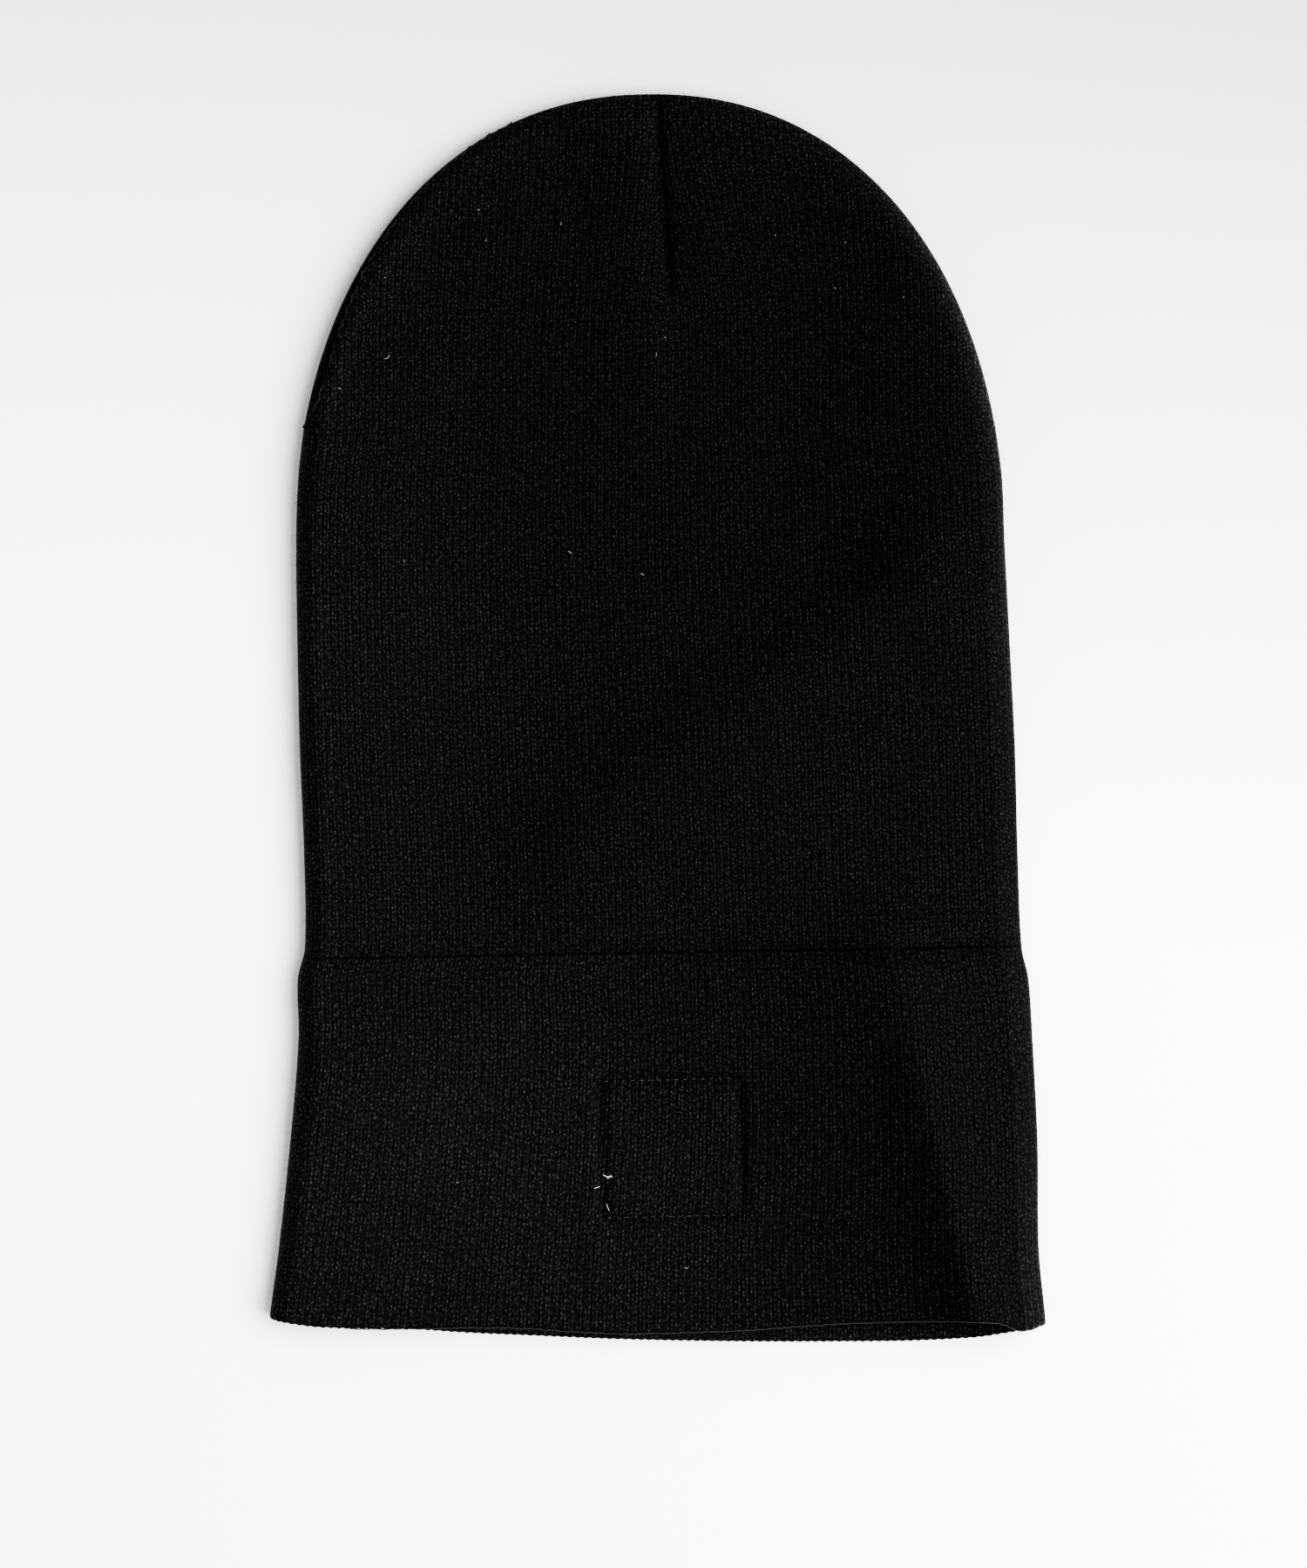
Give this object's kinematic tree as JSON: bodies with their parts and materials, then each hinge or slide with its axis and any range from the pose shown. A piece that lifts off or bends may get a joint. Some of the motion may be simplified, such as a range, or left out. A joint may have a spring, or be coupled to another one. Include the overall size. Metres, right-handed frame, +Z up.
{
  "type": "cuffed beanie, shown with its cuff turned down",
  "caption": "Long cuffed beanie of fine black rib knit, lying flat with the cuff turned down; hollow, seamed crown over a wide cuff band with an open mouth.",
  "frame": {"origin": "centre of the bounding box in plan, on the surface that the back layer lies on", "axes": "+Y from the mouth to the top of the crown, +Z up out of the front layer, +X to the right as the front is seen from above"},
  "size_m": [0.196, 0.3147, 0.0186],
  "materials": {
    "knit": "matt black acrylic yarn in a fine one by one rib, slightly fuzzy",
    "thread": "black sewing thread, a little smoother than the yarn",
    "lint": "pale loose fibres"
  },
  "bodies": {
    "root": {"crown": "knit", "cuff": "knit"}
  },
  "joints": []
}
